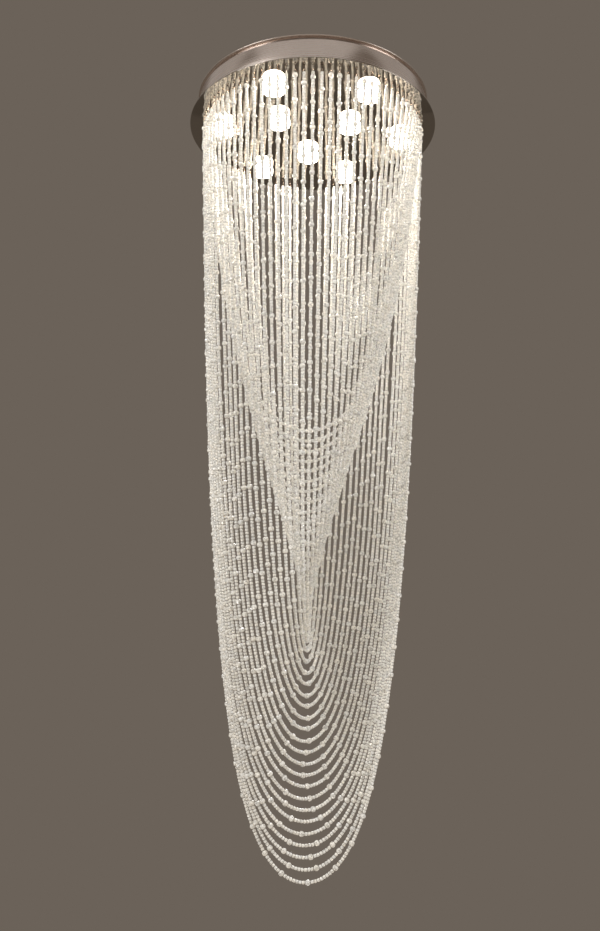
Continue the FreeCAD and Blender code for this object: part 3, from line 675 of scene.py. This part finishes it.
class CHANDELIER_OT_camera(bpy.types.Operator):
    """Stands the camera where the photograph was taken"""

    bl_idname = "chandelier.camera"
    bl_label = "Camera"

    def execute(self, context):
        stage = context.scene.chandelier_stage
        camera = add_object("photo_camera", bpy.data.cameras.new("photo_camera"))
        camera.data.sensor_fit = "HORIZONTAL"
        camera.data.sensor_width = 36
        camera.data.lens = stage.lens
        camera.data.shift_y = stage.shift
        camera.data.clip_end = 100
        turned = Matrix.Rotation(stage.yaw, 4, "Z") @ Matrix.Rotation(math.pi / 2 + stage.pitch, 4, "X")
        stand = Matrix.Translation((0, -stage.distance, -stage.eye_drop))
        camera.matrix_world = stand @ turned @ Matrix.Rotation(stage.roll, 4, "Z")
        context.scene.camera = camera
        return {"FINISHED"}


class CHANDELIER_OT_garlands(bpy.types.Operator):
    """Strings the beads and hangs each garland from its two hooks"""

    bl_idname = "chandelier.garlands"
    bl_label = "Bead Garlands"

    def execute(self, context):
        sizes = context.scene.chandelier_sizes
        finishes = context.scene.chandelier_finishes
        chance = random.Random(sizes.seed)
        small_glass = crystal("Crystal glass, small beads", finishes, least=0.04, most=0.5)
        big_glass = crystal("Crystal glass, big beads", finishes, least=0.1, most=0.6)
        line = nylon(finishes)
        wire = plated_metal("Nickel-plated ring wire", finishes.steel, low=0.16, high=0.24, grain=0.0008)
        small_bead = cut_bead(
            "small_bead", sizes.small_bead, sizes.small_bead_length, segments=8, rings=4, fullness=1.2
        )
        big_bead = cut_bead(
            "big_bead", sizes.big_bead, sizes.big_bead * BIG_BEAD_LENGTH, segments=8, rings=6, fullness=1.03
        )
        for place, plan in enumerate(garland_plans(sizes)):
            thread = hang_thread(plan, sizes, line, chance)
            stations = line_of(thread)
            total = stations[-1][0]
            pieces = []
            for kind, bead, glass, distances in zip(
                ("small_beads", "big_beads"),
                (small_bead, big_bead),
                (small_glass, big_glass),
                bead_distances(total, sizes, chance),
            ):
                frames = strung_frames(stations, distances, chance)
                pieces.append(string_beads(f"{plan['name']}_{kind}", bead, frames, glass, chance))
            rings = end_rings(plan, sizes, wire)
            pieces.append(rings)
            for piece in [thread] + pieces:
                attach(piece, FIXTURE)
                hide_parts(plan["node"])
            if place >= UNDECLARED:
                tuple(stations[0][1])
        return {"FINISHED"}


class CHANDELIER_OT_lamps(bpy.types.Operator):
    """Makes the lit reflector lamps"""

    bl_idname = "chandelier.lamps"
    bl_label = "Lamps"

    def execute(self, context):
        finishes = context.scene.chandelier_finishes
        front = lit_glass("Lit front glass", finishes, finishes.lamp_glow)
        side = lit_glass("Lit reflector glass", finishes, finishes.lamp_glow * SIDE_GLOW)
        base = moulded("Lamp base cement", finishes.porcelain, roughness=0.6, grain=0.002, depth=0.0002)
        pin = plated_metal("Nickel-plated pins", finishes.zinc, low=0.2, high=0.3, grain=0.0008)
        for name in LAMPS:
            low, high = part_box(name)
            axis = (low + high) / 2
            mesh = self.reflector_lamp(f"{name}_reflector", low.z, [front, side, base, pin])
            mesh.transform(Matrix.Translation((axis.x, axis.y, 0)))
            lamp = add_object(mesh.name, mesh)
            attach(lamp, f"{name}_turning")
            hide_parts(name)
        return {"FINISHED"}

    def reflector_lamp(self, name, bottom, materials):
        """A reflector lamp round Z with its front at bottom.

        Its materials are those of its front, its reflector, its base and its two pins.
        """
        front_glass, reflector_glass, base_cement, pin_metal = range(4)
        front_edge = bottom + 0.0168
        base_edge = bottom + 0.0412
        profile = [
            (0, bottom + 0.0012),
            (0.012, bottom + 0.0016),
            (0.0215, bottom + 0.0028),
            (0.0222, bottom + 0.0006),
            (0.0232, bottom),
            (0.0244, bottom + 0.0005),
            (0.025, bottom + 0.0018),
            (0.025, bottom + 0.0150),
            (0.0246, front_edge),
            (0.0228, bottom + 0.0212),
            (0.0201, bottom + 0.0268),
            (0.0170, bottom + 0.0328),
            (0.0139, bottom + 0.0384),
            (0.0122, base_edge),
            (0.0120, bottom + 0.0485),
            (0.0113, bottom + 0.0498),
            (0, bottom + 0.050),
        ]

        def material_of(height):
            if height > base_edge:
                return base_cement
            return front_glass if height < front_edge else reflector_glass

        bm = turned_profile(profile, LAMP_STEPS, material_of)
        # The reflector is fluted between its rim and its base.
        fluted = [v for v in bm.verts if front_edge + 0.001 < v.co.z < base_edge - 0.001]
        for vertex in fluted:
            angle = math.atan2(vertex.co.y, vertex.co.x)
            if round(angle / math.tau * LAMP_STEPS) % 2:
                bmesh.ops.scale(bm, verts=[vertex], vec=(FLUTE, FLUTE, 1))
        # Each of the two pins has a neck and a head, here as radius, start and height.
        neck = (0.0015, 0.050, 0.0036)
        head = (0.0024, 0.0536, 0.003)
        pin_offset = 0.005
        for side in (-1, 1):
            for radius, start, height in (neck, head):
                made = bmesh.ops.create_cone(
                    bm, cap_ends=True, segments=16, radius1=radius, radius2=radius, depth=height
                )["verts"]
                centre = Vector((side * pin_offset, 0, bottom + start + height / 2))
                bmesh.ops.translate(bm, verts=made, vec=centre)
                for face in {face for vertex in made for face in vertex.link_faces}:
                    face.material_index = pin_metal
        return mesh_from(bm, name, materials, smooth_angle=math.radians(25))


class CHANDELIER_OT_metalwork(bpy.types.Operator):
    """Gives the canopy, its hooks and all that is inside it their finishes"""

    bl_idname = "chandelier.metalwork"
    bl_label = "Metalwork"

    def execute(self, context):
        finishes = context.scene.chandelier_finishes
        steel = polished_steel(finishes)
        zinc = plated_metal("Zinc-plated steel", finishes.zinc, low=0.28, high=0.42, grain=0.004)
        brass = plated_metal("Bright brass", linear("#D9BC72"), low=0.18, high=0.3, grain=0.002)
        hook_wire = plated_metal("Nickel-plated hook wire", finishes.steel, low=0.16, high=0.24, grain=0.0008)
        rubber = moulded("Moulded rubber", linear("#1D1C1B"), roughness=0.75, grain=0.001, depth=0.0001)
        nylon_block = moulded(
            "Moulded nylon block", linear("#E8E3D6"), roughness=0.45, grain=0.001, depth=0.00005
        )
        porcelain = moulded(
            "Glazed porcelain", finishes.porcelain, roughness=0.12, grain=0.01, depth=0.0001
        )
        finish_of = {
            "mirror_plate": mirror_steel(finishes),
            "cap_nuts": steel,
            "plate_washers": steel,
            "strand_hooks": hook_wire,
            "ceiling_bracket": zinc,
            "hanger_bolts": zinc,
            "bracket_nuts": zinc,
            "lamp_straps": zinc,
            "holder_screws": zinc,
            "holder_contacts": brass,
            "terminal_screws": brass,
            "earth_screw": brass,
            "cable_bush": rubber,
            "terminal_block": nylon_block,
        }
        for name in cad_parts:
            if name.startswith("lampholder_"):
                finish_of[name] = porcelain
        for name, finish in finish_of.items():
            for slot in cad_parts[name].material_slots:
                slot.material = finish
        self.roll_drum(steel)
        return {"FINISHED"}

    def roll_drum(self, steel):
        """The drum as rolled: a proud lip at the ceiling, a shadow groove under it, and the plain wall."""
        low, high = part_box("canopy_drum")
        wall = high.x
        sheet_gauge = 0.0012
        flange = wall - sheet_gauge - 0.008
        groove = wall - 0.0055
        # Up the outside, over the lip and down the inside.
        section = [
            (flange, low.z),
            (wall, low.z),
            (wall, high.z - 0.0115),
            (groove, high.z - 0.0105),
            (groove, high.z - 0.0036),
            (wall + 0.0012, high.z - 0.0036),
            (wall + 0.0024, high.z - 0.0026),
            (wall + 0.0028, high.z - 0.0016),
            (wall + 0.0022, high.z - 0.0004),
            (wall + 0.0012, high.z),
            (flange, high.z),
            (flange, high.z - sheet_gauge),
            (groove - sheet_gauge, high.z - sheet_gauge),
            (groove - sheet_gauge, high.z - 0.0117),
            (wall - sheet_gauge, high.z - 0.0127),
            (wall - sheet_gauge, low.z + sheet_gauge),
            (flange, low.z + sheet_gauge),
        ]
        bm = turned_profile(section + section[:1], steps=192)
        folds = [edge for edge in bm.edges if edge.calc_face_angle(0) > math.radians(60)]
        bmesh.ops.bevel(
            bm,
            geom=folds,
            offset=0.0003,
            offset_type="OFFSET",
            affect="EDGES",
            segments=2,
            profile=0.5,
            material=-1,
        )
        mesh = mesh_from(bm, "rolled_drum", [steel], smooth_angle=math.radians(50))
        drum = add_object(mesh.name, mesh)
        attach(drum, FIXTURE)
        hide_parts("canopy_drum")


class CHANDELIER_OT_stage(bpy.types.Operator):
    """Sets the pale floor, the background and the studio lights"""

    bl_idname = "chandelier.stage"
    bl_label = "Stage"

    def execute(self, context):
        stage = context.scene.chandelier_stage
        context.scene.view_settings.view_transform = "Standard"
        bm = bmesh.new()
        bmesh.ops.create_circle(bm, cap_ends=True, segments=96, radius=stage.floor_radius)
        bmesh.ops.translate(bm, verts=bm.verts, vec=(0, 0, -stage.floor_drop))
        made, tree = new_material("Pale floor")
        # The pale floor fades into the background with its distance from the middle.
        place = add_node(tree, "ShaderNodeTexCoord")
        flat = add_node(
            tree,
            "ShaderNodeVectorMath",
            {0: place.outputs["Object"], 1: (1, 1, 0)},
            operation="MULTIPLY",
        )
        reach = add_node(tree, "ShaderNodeVectorMath", {0: flat.outputs[0]}, operation="LENGTH")
        fade = add_node(
            tree,
            "ShaderNodeMapRange",
            {"Value": reach.outputs["Value"], "From Min": stage.floor_fade, "From Max": stage.floor_radius},
            interpolation_type="SMOOTHSTEP",
        )
        tone = add_node(
            tree,
            "ShaderNodeMix",
            {
                MIX_FACTOR: fade.outputs[0],
                MIX_FIRST: rgba(stage.floor),
                MIX_SECOND: rgba(stage.backdrop),
            },
            data_type="RGBA",
        )
        matt = add_node(
            tree, "ShaderNodeBsdfPrincipled", {"Base Color": tone.outputs[MIX_RESULT], "Roughness": 0.9}
        )
        add_node(tree, "ShaderNodeOutputMaterial", {"Surface": matt.outputs[0]})
        floor = add_object("pale_floor", mesh_from(bm, "pale_floor", [made]))
        self.light_world(context.scene, stage)
        # Name, place and width in metres, power in watts.
        boxes = (
            ("left_softbox", (-2.6, -2.0, 0.3), 1.4, 36),
            ("right_softbox", (2.7, -1.4, -0.3), 1.4, 24),
            ("back_softbox", (0.5, 2.9, 0.2), 1.2, 30),
            ("front_softbox", (-0.4, -2.9, 1.9), 5.2, 31),
            ("high_left_softbox", (-3.6, 0.9, 2.2), 3.6, 11),
            ("high_right_softbox", (3.4, 0.4, 2.2), 3.8, 11),
        )
        for name, place, width, power in boxes:
            lamp = bpy.data.lights.new(name, "AREA")
            lamp.size = width
            lamp.energy = power
            box = add_object(name, lamp)
            box.location = place
            box.rotation_euler = (LIGHTS_AIM - Vector(place)).to_track_quat("-Z", "Y").to_euler()
        return {"FINISHED"}

    def light_world(self, scene, stage):
        """A pale surrounding light, behind which the backdrop's colour is seen."""
        world = bpy.data.worlds.new("Studio")
        world.use_nodes = True
        tree = world.node_tree
        tree.nodes.clear()
        light = add_node(tree, "ShaderNodeBackground", {"Color": rgba(linear("#FFFBF4")), "Strength": 0.66})
        seen = add_node(tree, "ShaderNodeBackground", {"Color": rgba(stage.backdrop), "Strength": 1})
        # The background is seen straight, in metal and through glass. All else gets the light.
        path = add_node(tree, "ShaderNodeLightPath")
        looks = add_node(
            tree,
            "ShaderNodeMath",
            {0: path.outputs["Is Camera Ray"], 1: path.outputs["Is Glossy Ray"]},
            operation="MAXIMUM",
        )
        through = add_node(
            tree,
            "ShaderNodeMath",
            {0: looks.outputs[0], 1: path.outputs["Is Transmission Ray"]},
            operation="MAXIMUM",
        )
        both = add_node(
            tree, "ShaderNodeMixShader", {0: through.outputs[0], 1: light.outputs[0], 2: seen.outputs[0]}
        )
        add_node(tree, "ShaderNodeOutputWorld", {"Surface": both.outputs[0]})
        scene.world = world


class CHANDELIER_PT_panel(bpy.types.Panel):
    """Lists the sizes, finishes and pieces of the chandelier"""

    bl_idname = "CHANDELIER_PT_panel"
    bl_label = "Crystal Rain Chandelier"
    bl_space_type = "VIEW_3D"
    bl_region_type = "UI"
    bl_category = "Chandelier"

    def draw(self, context):
        for group in (
            context.scene.chandelier_sizes,
            context.scene.chandelier_finishes,
            context.scene.chandelier_stage,
        ):
            box = self.layout.box()
            for name in group.__annotations__:
                box.prop(group, name)
        for operator in OPERATORS:
            self.layout.operator(operator.bl_idname)


OPERATORS = (
    CHANDELIER_OT_camera,
    CHANDELIER_OT_garlands,
    CHANDELIER_OT_lamps,
    CHANDELIER_OT_metalwork,
    CHANDELIER_OT_stage,
)
GROUPS = (ChandelierSizes, ChandelierFinishes, ChandelierStage)


def register():
    for group in GROUPS + OPERATORS + (CHANDELIER_PT_panel,):
        bpy.utils.register_class(group)
    bpy.types.Scene.chandelier_sizes = PointerProperty(type=ChandelierSizes)
    bpy.types.Scene.chandelier_finishes = PointerProperty(type=ChandelierFinishes)
    bpy.types.Scene.chandelier_stage = PointerProperty(type=ChandelierStage)


def unregister():
    del bpy.types.Scene.chandelier_stage
    del bpy.types.Scene.chandelier_finishes
    del bpy.types.Scene.chandelier_sizes
    for group in reversed(GROUPS + OPERATORS + (CHANDELIER_PT_panel,)):
        bpy.utils.unregister_class(group)


def main():
    register()
    bpy.ops.chandelier.camera()
    bpy.ops.chandelier.garlands()
    bpy.ops.chandelier.lamps()
    bpy.ops.chandelier.metalwork()
    bpy.ops.chandelier.stage()


if __name__ == "__main__":
    main()
